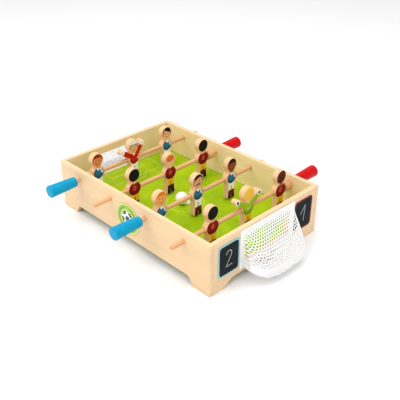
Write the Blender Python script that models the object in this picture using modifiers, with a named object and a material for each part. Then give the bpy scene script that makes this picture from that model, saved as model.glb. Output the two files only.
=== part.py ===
"""Tabletop football game: an open wooden tray on four feet with a printed playing field,
a goal with a hanging net in each end wall, and four sliding and turning rods of players.

Frame: metres, +Z up. The origin is on the table top that the game stands on, below the
middle of the tray. +X points to the end wall with the score boards, -Y to the side where
the blue team's handles are.
"""

import math

import bmesh
import bpy
from mathutils import Matrix, Vector

MM = 0.001

# Tray
TRAY_LENGTH = 500 * MM
TRAY_WIDTH = 340 * MM
TRAY_HEIGHT = 121 * MM
WALL = 10 * MM                      # thickness of all four walls
EDGE_ROUNDING = 1.2 * MM            # eased edges of the walls
SIDE_FOOT_LENGTH = 50 * MM          # foot of a side wall, along X
SIDE_FOOT_SLOPE = 10 * MM           # the foot's slanted inner end, along X
SIDE_ARCH_HEIGHT = 21 * MM
END_FOOT_LENGTH = 37 * MM           # foot of an end wall, measured from the tray's side
END_FOOT_SLOPE = 27 * MM
END_ARCH_HEIGHT = 16 * MM
ARCH_RADIUS = 12 * MM               # bend from a foot's slope to the arch
FOOT_CORNER_RADIUS = 2.5 * MM

# Playing field, a panel held in a groove that runs round the inside of the walls
FIELD_TOP = 42 * MM
FIELD_THICKNESS = 4 * MM
GROOVE_DEPTH = 4 * MM

# Goals
GOAL_WIDTH = 136 * MM
GOAL_TOP = 103 * MM
GOAL_SILL = 0.5 * MM                # the goal's lower edge lies this far below the field
TAPE_WIDTH = 16 * MM                # woven band that holds the net's edge on the wall
TAPE_MARGIN = 1.5 * MM              # bare wood between the opening and the band
TAPE_OVERLAP = 2 * MM               # how far its upper strip hangs over the opening
TAPE_THICKNESS = 1.2 * MM
NET_THICKNESS = 1.4 * MM
NET_REACH = 62 * MM                 # how far the bag stands out from the wall
NET_LOWEST = 9 * MM
NET_HALF_WIDTH = 77 * MM            # at the upper and lower edges, on the band
NET_SIDE_BULGE = 8 * MM             # how far each side swells past that
NET_CELLS_ACROSS = 14
NET_CELLS_DOWN = 12

# Score boards and badge
BOARD_WIDTH = 60 * MM
BOARD_HEIGHT = 76 * MM
BOARD_THICKNESS = 1.2 * MM
BOARD_CENTRE_Y = 118 * MM
BOARD_CENTRE_Z = 70 * MM
BOARD_ROUNDNESS = 10                # exponent of the superellipse
BADGE_RADIUS = 38 * MM
BADGE_THICKNESS = 0.8 * MM
BADGE_CENTRE_Z = 71 * MM

# Rods
ROD_RADIUS = 5 * MM
ROD_Z = 98 * MM
ROD_PITCH = 117 * MM                # between neighbouring rods
ROD_OVERHANG = 110 * MM             # a rod is this much longer than the tray is wide
ROD_CHAMFER = 0.8 * MM
HANDLE_LENGTH = 70 * MM
HANDLE_INNER_RADIUS = 12 * MM
HANDLE_OUTER_RADIUS = 14.5 * MM
HANDLE_ROUNDING = 3 * MM
HANDLE_BORE_DEPTH = 63 * MM
COLLAR_RADIUS = 12 * MM
COLLAR_ROUNDING = 1 * MM
ROD_TRAVEL = 16 * MM
STOP_GAP = 0.5 * MM                 # between a handle or stop ring and its wall at a limit

# Players
PLAYER_PITCH = 108 * MM
PLAYER_THICKNESS = 14 * MM
HEAD_RADIUS = 16 * MM
HEAD_HEIGHT = 35.5 * MM             # centre of the head above the rod
NECK_HALF_WIDTH = 9.5 * MM
BODY_RADIUS = 17.5 * MM
LEG_HALF_WIDTH = 12 * MM
FOOT_DEPTH = 53 * MM                # sole below the rod
FOOT_ROUNDING = 3 * MM
OUTLINE_CENTRE = 12 * MM            # height above the rod that the outline is seen from
PLAYER_POINTS = 64
KEEPER_POINTS = 88
STRAIGHT = math.radians(1.5)        # an outline that turns less than this runs straight
ARM_RADIUS = 6.5 * MM
ARM_ROOT = (6 * MM, 8 * MM)         # shoulder, sideways and up from the rod
LOW_HAND = (34 * MM, 27 * MM)       # middle of a hand that is held out
HIGH_HAND = (26 * MM, 37 * MM)      # middle of a hand that is held up

BALL_RADIUS = 15 * MM
BALL_PLACE = (0, -11 * MM)

GAP = 0.3 * MM                      # between pieces that touch
BORE_GAP = 0.35 * MM                # between a rod and what turns or slides on it
OVERCUT = 2 * MM                    # how far a cutter runs past the face that it cuts
SIDES = 24                          # facets round a turned piece
MERGE = 0.00001

BORE_RADIUS = ROD_RADIUS + BORE_GAP
INNER_LENGTH = TRAY_LENGTH - 2 * WALL
INNER_WIDTH = TRAY_WIDTH - 2 * WALL
ROD_LENGTH = TRAY_WIDTH + ROD_OVERHANG
FIELD_BOTTOM = FIELD_TOP - FIELD_THICKNESS
TAPE_INNER_HALF = GOAL_WIDTH / 2 + TAPE_MARGIN
TAPE_INNER_TOP = GOAL_TOP - TAPE_OVERLAP
TAPE_INNER_BOTTOM = FIELD_TOP - GOAL_SILL - TAPE_MARGIN

WOOD = ("wood", (0.80, 0.62, 0.40), 0.55)
DOWEL_WOOD = ("dowel_wood", (0.78, 0.55, 0.36), 0.55)
GREEN = ("field_green", (0.36, 0.62, 0.03), 0.5)
BLUE = ("blue_paint", (0.0, 0.33, 0.62), 0.35)
RED = ("red_paint", (0.72, 0.02, 0.03), 0.35)
SLATE = ("slate_paint", (0.02, 0.025, 0.03), 0.8)
PRINT = ("badge_print", (0.25, 0.55, 0.08), 0.4)
WHITE_NET = ("white_net", (0.9, 0.9, 0.9), 0.9)
WHITE_TAPE = ("white_tape", (0.92, 0.92, 0.92), 0.9)
WHITE_BALL = ("white_ball", (0.93, 0.93, 0.92), 0.45)

# Each rod: name, place in steps of the pitch from the middle, side of its handle (-1 is
# -Y), gap between handle and wall at rest, length of its stop ring, and whether its middle
# player is a keeper
RODS = (
    ("blue_goal", -1.5, -1, 12 * MM, 17 * MM, True),
    ("red_front", -0.5, 1, 1.5 * MM, 17 * MM, False),
    ("blue_front", 0.5, -1, 14 * MM, 10 * MM, False),
    ("red_goal", 1.5, 1, 14 * MM, 17 * MM, True),
)

# Turns of flat outlines: upright and across the tray, or upright and along it
ACROSS = (math.pi / 2, 0, math.pi / 2)
ALONG = (math.pi / 2, 0, 0)


# ---------------------------------------------------------------- scene and materials

def empty_scene():
    for thing in list(bpy.data.objects):
        bpy.data.objects.remove(thing, do_unlink=True)


def new_collection(name):
    collection = bpy.data.collections.new(name)
    bpy.context.scene.collection.children.link(collection)
    return collection


def material(finish):
    """Principled material of a (name, colour, roughness) finish, made once."""
    name, colour, roughness = finish
    made = bpy.data.materials.get(name)
    if made is None:
        made = bpy.data.materials.new(name)
        made.use_nodes = True
        shader = made.node_tree.nodes["Principled BSDF"]
        shader.inputs["Base Color"].default_value = (*colour, 1)
        shader.inputs["Roughness"].default_value = roughness
        shader.inputs["Metallic"].default_value = 0
    return made


def add_object(name, data, collection, place=(0, 0, 0), turn=(0, 0, 0)):
    thing = bpy.data.objects.new(name, data)
    thing.location = place
    thing.rotation_euler = turn
    collection.objects.link(thing)
    return thing


def finish_piece(thing, finish, smooth=False):
    thing.data.materials.append(material(finish))
    if smooth:
        thing.data.shade_smooth()
        thing.data.set_sharp_from_angle(angle=math.radians(35))
    return thing


# ---------------------------------------------------------------- shapes

def box(name, collection, low, high):
    """Box between two corners, with its origin in its middle."""
    cube = bmesh.new()
    bmesh.ops.create_cube(cube, size=1)
    bmesh.ops.scale(cube, vec=[b - a for a, b in zip(low, high)], verts=cube.verts)
    mesh = bpy.data.meshes.new(name)
    cube.to_mesh(mesh)
    cube.free()
    return add_object(name, mesh, collection, [(a + b) / 2 for a, b in zip(low, high)])


def cylinder(name, collection, radius, length, place, turn):
    """Closed cylinder of the given length, centred at its place, along its own Z."""
    shape = bmesh.new()
    bmesh.ops.create_cone(shape, cap_ends=True, segments=SIDES, radius1=radius,
                          radius2=radius, depth=length)
    mesh = bpy.data.meshes.new(name)
    shape.to_mesh(mesh)
    shape.free()
    return add_object(name, mesh, collection, place, turn)


def plate(name, collection, outline, thickness, place, turn):
    """Flat piece with the given outline, its thickness centred on its place."""
    curve = bpy.data.curves.new(name, "CURVE")
    curve.dimensions = "2D"
    curve.fill_mode = "BOTH"
    curve.extrude = thickness / 2
    spline = curve.splines.new("POLY")
    spline.points.add(len(outline) - 1)
    for point, (across, up) in zip(spline.points, outline):
        point.co = (across, up, 0, 1)
    spline.use_cyclic_u = True
    return as_mesh(add_object(name, curve, collection, place, turn), collection)


def as_mesh(shape, collection):
    """Mesh object that takes a curve object's name and place, with its caps welded on."""
    bpy.context.view_layer.update()
    name = shape.name
    matrix = shape.matrix_world.copy()
    evaluated = shape.evaluated_get(bpy.context.evaluated_depsgraph_get())
    mesh = bpy.data.meshes.new_from_object(evaluated)
    bpy.data.objects.remove(shape, do_unlink=True)
    welded = bmesh.new()
    welded.from_mesh(mesh)
    bmesh.ops.remove_doubles(welded, verts=welded.verts, dist=MERGE)
    welded.to_mesh(mesh)
    welded.free()
    piece = add_object(name, mesh, collection)
    piece.matrix_world = matrix
    return piece


def turned(name, collection, profile, place, turn, closed=False):
    """Body turned round its own Z from (radius, height) points that run down outside."""
    mesh = bpy.data.meshes.new(name)
    edges = [(i, i + 1) for i in range(len(profile) - 1)]
    if closed:
        edges.append((len(profile) - 1, 0))
    mesh.from_pydata([(radius, 0, height) for radius, height in profile], edges, [])
    piece = add_object(name, mesh, collection, place, turn)
    screw = piece.modifiers.new("turn", "SCREW")
    screw.axis = "Z"
    screw.steps = SIDES
    screw.render_steps = SIDES
    screw.use_merge_vertices = True
    screw.merge_threshold = MERGE
    screw.use_normal_calculate = False
    return piece


def quarter(centre, radius, start, steps=3):
    """Points of a quarter circle that turns clockwise from the start angle in degrees."""
    angles = [math.radians(start - 90 * i / steps) for i in range(steps + 1)]
    return [(centre[0] + radius * math.cos(a), centre[1] + radius * math.sin(a))
            for a in angles]


def cut(piece, cutter, solver="EXACT"):
    step = piece.modifiers.new(cutter.name, "BOOLEAN")
    step.operation = "DIFFERENCE"
    step.solver = solver
    step.object = cutter
    cutter.hide_render = True
    cutter.display_type = "WIRE"
    return piece


def ease_edges(piece, width):
    bevel = piece.modifiers.new("eased edges", "BEVEL")
    bevel.width = width
    bevel.segments = 2
    bevel.limit_method = "ANGLE"
    bevel.angle_limit = math.radians(40)


# ---------------------------------------------------------------- tray

def rod_x(step):
    return step * ROD_PITCH


def rounded(corners, count=5):
    """Outline with an arc in place of each corner, from (across, up, radius) corners."""
    points = []
    for i, (across, up, radius) in enumerate(corners):
        if not radius:
            points.append((across, up))
            continue
        corner = Vector((across, up))
        before = (Vector(corners[i - 1][:2]) - corner).normalized()
        after = (Vector(corners[(i + 1) % len(corners)][:2]) - corner).normalized()
        half = before.angle(after) / 2
        centre = corner + (before + after).normalized() * (radius / math.sin(half))
        start = corner + before * (radius / math.tan(half)) - centre
        turn = (math.pi - 2 * half) * (1 if before.cross(after) < 0 else -1)
        for k in range(count):
            spoke = Matrix.Rotation(turn * k / (count - 1), 2) @ start
            points.append(tuple(centre + spoke))
    return points


def wall_outline(length, foot, slope, arch):
    """Wall seen from the front: a rectangle with a low arch between its two feet."""
    half = length / 2
    toe = FOOT_CORNER_RADIUS
    bend = ARCH_RADIUS
    return rounded([
        (-half, 0, toe), (-half + foot, 0, toe), (-half + foot + slope, arch, bend),
        (half - foot - slope, arch, bend), (half - foot, 0, toe), (half, 0, toe),
        (half, TRAY_HEIGHT, 0), (-half, TRAY_HEIGHT, 0),
    ])


def groove_cutter(name, cutters, low, high):
    """Cutter of the groove in the walls that the field's edge sits in."""
    return box(name, cutters, (*low, FIELD_BOTTOM - GAP), (*high, FIELD_TOP + GAP))


def make_side_wall(name, side, parts, cutters):
    """Long wall with four running holes for the rods, at the given side (-1 or 1)."""
    outline = wall_outline(TRAY_LENGTH, SIDE_FOOT_LENGTH, SIDE_FOOT_SLOPE, SIDE_ARCH_HEIGHT)
    middle = side * (TRAY_WIDTH - WALL) / 2
    wall = plate(name, parts, outline, WALL, (0, middle, 0), ALONG)
    ease_edges(wall, EDGE_ROUNDING)
    inner = side * INNER_WIDTH / 2
    ends = sorted((inner - side * OVERCUT, inner + side * (GROOVE_DEPTH + GAP)))
    half = INNER_LENGTH / 2 + GROOVE_DEPTH + GAP
    cut(wall, groove_cutter(name + "_groove", cutters, (-half, ends[0]), (half, ends[1])))
    for rod, step, *_ in RODS:
        place = (rod_x(step), middle, ROD_Z)
        hole = cylinder(f"{name}_{rod}_hole", cutters, BORE_RADIUS, WALL + 2 * OVERCUT,
                        place, ALONG)
        cut(wall, hole)
    return finish_piece(wall, WOOD)


def make_end_wall(name, end, parts, cutters):
    """Short wall between the side walls, with its goal opening, at the given end."""
    foot = END_FOOT_LENGTH - WALL - GAP
    width = INNER_WIDTH - 2 * GAP
    outline = wall_outline(width, foot, END_FOOT_SLOPE, END_ARCH_HEIGHT)
    middle = end * (TRAY_LENGTH - WALL) / 2
    wall = plate(name, parts, outline, WALL, (middle, 0, 0), ACROSS)
    ease_edges(wall, EDGE_ROUNDING)
    inner = end * INNER_LENGTH / 2
    ends = sorted((inner - end * OVERCUT, inner + end * (GROOVE_DEPTH + GAP)))
    half = TRAY_WIDTH / 2
    groove = groove_cutter(name + "_groove", cutters, (ends[0], -half), (ends[1], half))
    cut(wall, groove, "MANIFOLD")
    sides = sorted((inner - end * OVERCUT, end * (TRAY_LENGTH / 2 + OVERCUT)))
    opening = box(name + "_opening", cutters,
                  (sides[0], -GOAL_WIDTH / 2, FIELD_TOP - GOAL_SILL),
                  (sides[1], GOAL_WIDTH / 2, GOAL_TOP))
    cut(wall, opening, "MANIFOLD")
    return finish_piece(wall, WOOD)


def make_field(parts):
    """Printed panel whose edge sits in the walls' groove."""
    half_length = INNER_LENGTH / 2 + GROOVE_DEPTH
    half_width = INNER_WIDTH / 2 + GROOVE_DEPTH
    field = box("playfield", parts, (-half_length, -half_width, FIELD_BOTTOM),
                (half_length, half_width, FIELD_TOP))
    return finish_piece(field, GREEN)


# ---------------------------------------------------------------- goals, boards, badge

def make_tape(name, end, parts, cutters):
    """White band round the goal, flat on the outside of the end wall."""
    near = TRAY_LENGTH / 2 + GAP
    far = near + TAPE_THICKNESS
    outer = TAPE_INNER_HALF + TAPE_WIDTH
    faces = sorted((end * near, end * far))
    tape = box(name, parts, (faces[0], -outer, TAPE_INNER_BOTTOM - TAPE_WIDTH),
               (faces[1], outer, TAPE_INNER_TOP + TAPE_WIDTH))
    faces = sorted((end * (near - OVERCUT), end * (far + OVERCUT)))
    window = box(name + "_window", cutters, (faces[0], -TAPE_INNER_HALF, TAPE_INNER_BOTTOM),
                 (faces[1], TAPE_INNER_HALF, TAPE_INNER_TOP))
    cut(tape, window)
    return finish_piece(tape, WHITE_TAPE)


def net_point(across, down):
    """Point of the hanging bag, out from the wall and up, for across -1..1, down 0..1.

    Each upright section is a cubic Bezier curve from the upper edge to the lower edge.
    Its two handles pull it out and down, less and less towards the sides.
    """
    top = TAPE_INNER_TOP + TAPE_WIDTH / 2
    bottom = TAPE_INNER_BOTTOM - TAPE_WIDTH / 2
    fullness = math.sqrt(1 - across ** 4)
    handle_out = (0.45 * NET_REACH * fullness, 1.98 * NET_REACH * fullness)
    handle_up = (top - 0.35 * (top - bottom), bottom - 3.0 * (bottom - NET_LOWEST) * fullness)
    rest = 1 - down
    weights = (rest ** 3, 3 * rest ** 2 * down, 3 * rest * down ** 2, down ** 3)
    out = weights[1] * handle_out[0] + weights[2] * handle_out[1]
    up = (weights[0] * top + weights[1] * handle_up[0]
          + weights[2] * handle_up[1] + weights[3] * bottom)
    return out, up


def make_net(name, end, parts):
    """Net bag as a plain closed shell, open to the goal."""
    grid = bmesh.new()
    bmesh.ops.create_grid(grid, x_segments=NET_CELLS_ACROSS, y_segments=NET_CELLS_DOWN, size=1)
    start = TRAY_LENGTH / 2 + 2 * GAP + TAPE_THICKNESS + NET_THICKNESS
    for vertex in grid.verts:
        across = max(-1.0, min(1.0, vertex.co.x))
        down = (1 - vertex.co.y) / 2
        out, up = net_point(across, down)
        half = NET_HALF_WIDTH + NET_SIDE_BULGE * math.sin(math.pi * down)
        vertex.co = (end * (start + out), across * half, up)
    if end < 0:
        bmesh.ops.reverse_faces(grid, faces=grid.faces)
    mesh = bpy.data.meshes.new(name)
    grid.to_mesh(mesh)
    grid.free()
    net = add_object(name, mesh, parts)
    shell = net.modifiers.new("cloth thickness", "SOLIDIFY")
    shell.thickness = NET_THICKNESS
    shell.offset = 0
    return finish_piece(net, WHITE_NET, smooth=True)


def superellipse(half_width, half_height, exponent, count):
    """Rounded rectangle with slightly bulging sides: |x/a|^n + |y/b|^n = 1."""
    points = []
    for i in range(count):
        angle = 2 * math.pi * (i + 0.5) / count
        cosine = math.cos(angle)
        sine = math.sin(angle)
        reach = (abs(cosine) ** exponent + abs(sine) ** exponent) ** (-1 / exponent)
        points.append((half_width * reach * cosine, half_height * reach * sine))
    return points


def make_board(name, side, parts):
    """Chalk score board beside the goal, flat on the outside of the +X end wall."""
    outline = superellipse(BOARD_WIDTH / 2, BOARD_HEIGHT / 2, BOARD_ROUNDNESS, 32)
    place = (TRAY_LENGTH / 2 + GAP + BOARD_THICKNESS / 2, side * BOARD_CENTRE_Y,
             BOARD_CENTRE_Z)
    return finish_piece(plate(name, parts, outline, BOARD_THICKNESS, place, ACROSS), SLATE)


def make_badge(parts):
    """Round printed badge on the outside of the near side wall."""
    place = (0, -TRAY_WIDTH / 2 - GAP - BADGE_THICKNESS / 2, BADGE_CENTRE_Z)
    badge = cylinder("side_badge", parts, BADGE_RADIUS, BADGE_THICKNESS, place, ALONG)
    return finish_piece(badge, PRINT)


# ---------------------------------------------------------------- rods

def make_rod(name, parent, tip, parts, turn):
    """Round dowel with chamfered ends, from its plain tip into the handle."""
    flat = ROD_RADIUS - ROD_CHAMFER
    profile = [
        (0, ROD_LENGTH), (flat, ROD_LENGTH), (ROD_RADIUS, ROD_LENGTH - ROD_CHAMFER),
        (ROD_RADIUS, ROD_CHAMFER), (flat, 0), (0, 0),
    ]
    rod = turned(name, parts, profile, (0, tip, 0), turn)
    rod.parent = parent
    return finish_piece(rod, DOWEL_WOOD, smooth=True)


def make_handle(name, parent, start, parts, turn, paint):
    """Turned grip, a little thicker outwards, with a blind bore for the rod."""
    r = HANDLE_ROUNDING
    outer = quarter((HANDLE_OUTER_RADIUS - r, HANDLE_LENGTH - r), r, 90)
    inner = quarter((HANDLE_INNER_RADIUS - r, r), r, 0)
    profile = [(0, HANDLE_LENGTH), *outer, *inner, (BORE_RADIUS, 0),
               (BORE_RADIUS, HANDLE_BORE_DEPTH), (0, HANDLE_BORE_DEPTH)]
    handle = turned(name, parts, profile, (0, start, 0), turn)
    handle.parent = parent
    return finish_piece(handle, paint, smooth=True)


def make_collar(name, parent, start, length, parts, turn):
    """Stop ring between the outer player and the wall."""
    r = COLLAR_ROUNDING
    profile = [(BORE_RADIUS, length), *quarter((COLLAR_RADIUS - r, length - r), r, 90, 2),
               *quarter((COLLAR_RADIUS - r, r), r, 0, 2), (BORE_RADIUS, 0)]
    collar = turned(name, parts, profile, (0, start, 0), turn, closed=True)
    collar.parent = parent
    return finish_piece(collar, WOOD, smooth=True)


# ---------------------------------------------------------------- players

def exit_of_circle(origin, direction, centre, radius):
    """Distance along a ray to where it leaves a circle, or 0 if it misses it."""
    along = sum((c - o) * d for c, o, d in zip(centre, origin, direction))
    off = sum((c - o) ** 2 for c, o in zip(centre, origin)) - along ** 2
    if off > radius ** 2:
        return 0.0
    return along + math.sqrt(radius ** 2 - off)


def exit_of_box(origin, direction, half_width, low, high):
    """Distance along a ray to where it leaves an upright box that its origin is in."""
    limits = []
    if abs(direction[0]) > 1e-9:
        limits.append(half_width / abs(direction[0]))
    if direction[1] > 1e-9:
        limits.append((high - origin[1]) / direction[1])
    if direction[1] < -1e-9:
        limits.append((low - origin[1]) / direction[1])
    return min(limits)


def figure_reach(angle, hands):
    """Distance from the outline's centre to the edge of the figure at an angle.

    The figure is a union of simple shapes, all seen from the outline's centre: head, neck,
    trunk and legs, and for a keeper each arm, a row of circles from shoulder to hand.
    """
    origin = (0, OUTLINE_CENTRE)
    ray = (math.cos(angle), math.sin(angle))
    reach = [
        exit_of_circle(origin, ray, (0, HEAD_HEIGHT), HEAD_RADIUS),
        exit_of_circle(origin, ray, (0, 0), BODY_RADIUS),
        exit_of_box(origin, ray, NECK_HALF_WIDTH, 0, HEAD_HEIGHT),
        exit_of_box(origin, ray, LEG_HALF_WIDTH, FOOT_ROUNDING - FOOT_DEPTH,
                    OUTLINE_CENTRE + MM),
        exit_of_box(origin, ray, LEG_HALF_WIDTH - FOOT_ROUNDING, -FOOT_DEPTH,
                    OUTLINE_CENTRE + MM),
    ]
    for side in (-1, 1):
        corner = (side * (LEG_HALF_WIDTH - FOOT_ROUNDING), FOOT_ROUNDING - FOOT_DEPTH)
        reach.append(exit_of_circle(origin, ray, corner, FOOT_ROUNDING))
    for side, hand in zip((-1, 1), hands):
        for i in range(13):
            share = i / 12
            centre = [a + (b - a) * share for a, b in zip(ARM_ROOT, hand)]
            centre[0] *= side
            reach.append(exit_of_circle(origin, ray, centre, ARM_RADIUS))
    return max(reach)


def turn_at(before, point, after):
    """Angle that an outline turns through at a point."""
    first = math.atan2(point[1] - before[1], point[0] - before[0])
    second = math.atan2(after[1] - point[1], after[0] - point[0])
    return abs(math.remainder(second - first, 2 * math.pi))


def figure_outline(hands=()):
    """Outline of a player: points at equal steps, left out where it runs straight."""
    fine = 1440
    edge = []
    for i in range(fine):
        angle = 2 * math.pi * i / fine - math.pi / 2
        reach = figure_reach(angle, hands)
        edge.append((reach * math.cos(angle), OUTLINE_CENTRE + reach * math.sin(angle)))
    steps = [math.dist(edge[i], edge[(i + 1) % fine]) for i in range(fine)]
    spacing = sum(steps) / (KEEPER_POINTS if hands else PLAYER_POINTS)
    points = []
    travelled = spacing
    for point, step in zip(edge, steps):
        if travelled >= spacing:
            points.append(point)
            travelled -= spacing
        travelled += step
    count = len(points)
    return [points[i] for i in range(count)
            if turn_at(points[i - 1], points[i], points[(i + 1) % count]) > STRAIGHT]


def figure_mesh(name, hands, facing, parts, cutters):
    """Mesh of a player, cut out of a board and bored through the trunk for the rod."""
    outline = figure_outline(hands)
    if facing < 0:
        outline = [(-across, up) for across, up in reversed(outline)]
    figure = plate(name, parts, outline, PLAYER_THICKNESS, (0, 0, 0), ACROSS)
    length = 2 * (BODY_RADIUS + OVERCUT)
    bore = cylinder(name + "_bore", cutters, BORE_RADIUS, length, (0, 0, 0), ALONG)
    bored = as_mesh(cut(figure, bore), parts)
    bored.data.transform(bored.matrix_world.to_3x3().to_4x4())
    mesh = bored.data
    mesh.materials.append(material(WOOD))
    bpy.data.objects.remove(bored, do_unlink=True)
    return mesh


def make_rod_set(rod_set, figures, parts):
    """Rod, handle, stop ring and three players, on an empty on the rod's axis."""
    name, step, side, handle_gap, ring_length, has_keeper = rod_set
    axis = bpy.data.objects.new(name + "_axis", None)
    axis.location = (rod_x(step), 0, ROD_Z)
    parts.objects.link(axis)
    turn = (-side * math.pi / 2, 0, 0)
    start = TRAY_WIDTH / 2 + handle_gap
    paint = BLUE if side < 0 else RED
    make_handle(name + "_handle", axis, side * start, parts, turn, paint)
    tip = start + HANDLE_BORE_DEPTH - GAP - ROD_LENGTH
    make_rod(name + "_rod", axis, side * tip, parts, turn)
    # The stop ring is a stop gap off the wall when the rod is pulled right out
    left_to_pull = ROD_TRAVEL + STOP_GAP - handle_gap
    ring = INNER_WIDTH / 2 - STOP_GAP - left_to_pull - ring_length
    middle = ring - GAP - BODY_RADIUS - PLAYER_PITCH
    make_collar(name + "_collar", axis, side * ring, ring_length, parts, turn)
    for word, offset in (("near", -1), ("middle", 0), ("far", 1)):
        keeper = has_keeper and offset == 0
        piece = f"{name}_keeper" if keeper else f"{name}_player_{word}"
        mesh = figures[name if keeper else "player"]
        place = side * middle + offset * PLAYER_PITCH
        player = add_object(piece, mesh, parts, (0, place, 0))
        player.parent = axis


def make_ball(parts):
    ball = bmesh.new()
    bmesh.ops.create_uvsphere(ball, u_segments=SIDES, v_segments=14, radius=BALL_RADIUS)
    mesh = bpy.data.meshes.new("ball")
    ball.to_mesh(mesh)
    ball.free()
    place = (*BALL_PLACE, FIELD_TOP + GAP + BALL_RADIUS)
    return finish_piece(add_object("ball", mesh, parts, place), WHITE_BALL, smooth=True)


def main():
    empty_scene()
    parts = new_collection("tabletop_foosball")
    cutters = new_collection("cutters")
    make_side_wall("side_wall_near", -1, parts, cutters)
    make_side_wall("side_wall_far", 1, parts, cutters)
    make_end_wall("goal_wall_right", 1, parts, cutters)
    make_end_wall("goal_wall_left", -1, parts, cutters)
    make_field(parts)
    for end, word in ((1, "right"), (-1, "left")):
        make_tape("net_tape_" + word, end, parts, cutters)
        make_net("goal_net_" + word, end, parts)
    make_board("score_board_blue", -1, parts)
    make_board("score_board_red", 1, parts)
    make_badge(parts)
    figures = {
        "player": figure_mesh("player", (), 1, parts, cutters),
        "blue_goal": figure_mesh("blue_keeper", (LOW_HAND, HIGH_HAND), 1, parts, cutters),
        "red_goal": figure_mesh("red_keeper", (LOW_HAND, LOW_HAND), -1, parts, cutters),
    }
    for rod_set in RODS:
        make_rod_set(rod_set, figures, parts)
    make_ball(parts)


main()
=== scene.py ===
"""Fine surfaces and finishes of a wooden tabletop football game, round its fixed solids."""

import math

import bmesh
import bpy
import numpy as np
from bpy.props import FloatProperty, FloatVectorProperty, IntProperty, PointerProperty
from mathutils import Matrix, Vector


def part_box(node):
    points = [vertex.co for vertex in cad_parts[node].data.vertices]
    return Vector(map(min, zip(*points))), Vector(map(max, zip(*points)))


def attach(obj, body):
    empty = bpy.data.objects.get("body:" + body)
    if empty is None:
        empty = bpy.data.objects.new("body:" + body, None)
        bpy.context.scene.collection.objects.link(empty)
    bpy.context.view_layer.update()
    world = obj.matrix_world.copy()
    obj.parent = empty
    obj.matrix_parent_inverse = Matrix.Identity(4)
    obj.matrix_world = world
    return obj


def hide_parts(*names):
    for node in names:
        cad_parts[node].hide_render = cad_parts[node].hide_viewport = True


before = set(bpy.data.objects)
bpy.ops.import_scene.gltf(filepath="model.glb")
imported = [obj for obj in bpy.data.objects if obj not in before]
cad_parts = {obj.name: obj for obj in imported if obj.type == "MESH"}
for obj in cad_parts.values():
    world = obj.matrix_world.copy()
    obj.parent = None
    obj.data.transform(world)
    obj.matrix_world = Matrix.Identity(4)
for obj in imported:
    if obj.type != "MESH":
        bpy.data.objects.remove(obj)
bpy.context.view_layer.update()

bl_info = {
    "name": "Tabletop football",
    "version": (1, 0, 0),
    "blender": (4, 5, 0),
    "location": "View3D > Sidebar > Football",
    "description": "Fine surfaces and finishes of a wooden tabletop football game",
    "category": "Object",
}

MM = 0.001
SIDE_WALLS = ("side_wall_near", "side_wall_far")
END_WALLS = ("goal_wall_right", "goal_wall_left")
ROD_SETS = ("blue_goal", "red_front", "blue_front", "red_goal")

# Chalk numerals, as strokes of (across, up) in millimetres from a board's middle
CHALK_TWO = (((-8, 12), (-5, 18)), ((-5, 18), (1, 20)), ((1, 20), (7, 16)),
             ((7, 16), (7, 9)), ((7, 9), (-8, -17)), ((-8, -17), (9, -16)))
CHALK_ONE = (((-9, 2), (6, 21)), ((6, 21), (3, -18)))

# Player, in metres from the middle of its bore
HEAD_RADIUS = 16 * MM
HEAD_HEIGHT = 35.5 * MM
NECK_HALF_WIDTH = 9.5 * MM
LEG_HALF_WIDTH = 12 * MM
FOOT_DEPTH = 53 * MM
FOOT_ROUNDING = 3 * MM
OUTLINE_CENTRE = 12 * MM
ARM_RADIUS = 6.5 * MM
ARM_ROOT = (6 * MM, 8 * MM)
LOW_HAND = (34 * MM, 27 * MM)
HIGH_HAND = (26 * MM, 37 * MM)
KEEPER_HANDS = {"blue_goal": (LOW_HAND, HIGH_HAND), "red_goal": (LOW_HAND, LOW_HAND)}
ROD_RADIUS = 5 * MM
BORE_RADIUS = 5.35 * MM
TAPE_WIDTH = 16 * MM
NET_HALF_WIDTH = 77 * MM
NET_SIDE_BULGE = 8 * MM
NET_REACH = 62 * MM
BOARD_ROUNDNESS = 10
NET_THICKNESS = 1.4 * MM
SHEET_WIDTH = 156 * MM
SHEET_LENGTH = 176 * MM             # of the outer layer alone
LINING_SHARE = 0.5                  # length of the layer inside, over the outer one's


def srgb(red, green, blue):
    """Linear colour of a paint-chart colour given as 0 to 255."""
    chart = np.array((red, green, blue)) / 255
    linear = np.where(chart <= 0.04045, chart / 12.92, ((chart + 0.055) / 1.055) ** 2.4)
    return tuple(float(c) for c in linear)


# ---------------------------------------------------------------- what a user may change

class WoodSettings(bpy.types.PropertyGroup):
    wall: FloatVectorProperty(name="Walls", description="Outer faces of the tray",
                              default=srgb(231, 197, 154), subtype="COLOR")
    # Inside: a lighter copy of the wall wood, painted light that makes up for the shade on the
    # inner faces.
    inner: FloatVectorProperty(name="Inside", description="Inner faces of the tray",
                               default=srgb(254, 222, 174), subtype="COLOR")
    dowel: FloatVectorProperty(name="Rods", description="Round rods",
                               default=srgb(222, 168, 116), subtype="COLOR")
    player: FloatVectorProperty(name="Players", description="Bare wood of the players",
                                default=srgb(233, 190, 146), subtype="COLOR")
    grain: FloatProperty(name="Grain", description="Strength of the grain", default=0.6,
                         min=0, max=3)


class PaintSettings(bpy.types.PropertyGroup):
    blue: FloatVectorProperty(name="Blue", description="Grips of the blue team",
                              default=srgb(0, 145, 184), subtype="COLOR")
    red: FloatVectorProperty(name="Red", description="Grips of the red team",
                             default=srgb(192, 2, 3), subtype="COLOR")
    field: FloatVectorProperty(name="Field", description="Light green of the field",
                               default=srgb(166, 192, 2), subtype="COLOR")
    field_dark: FloatVectorProperty(name="Field, dark", description="Darker green patches",
                                    default=srgb(140, 178, 0), subtype="COLOR")
    line: FloatVectorProperty(name="Lines", description="Pale lines of the field",
                              default=srgb(205, 224, 120), subtype="COLOR")


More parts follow.
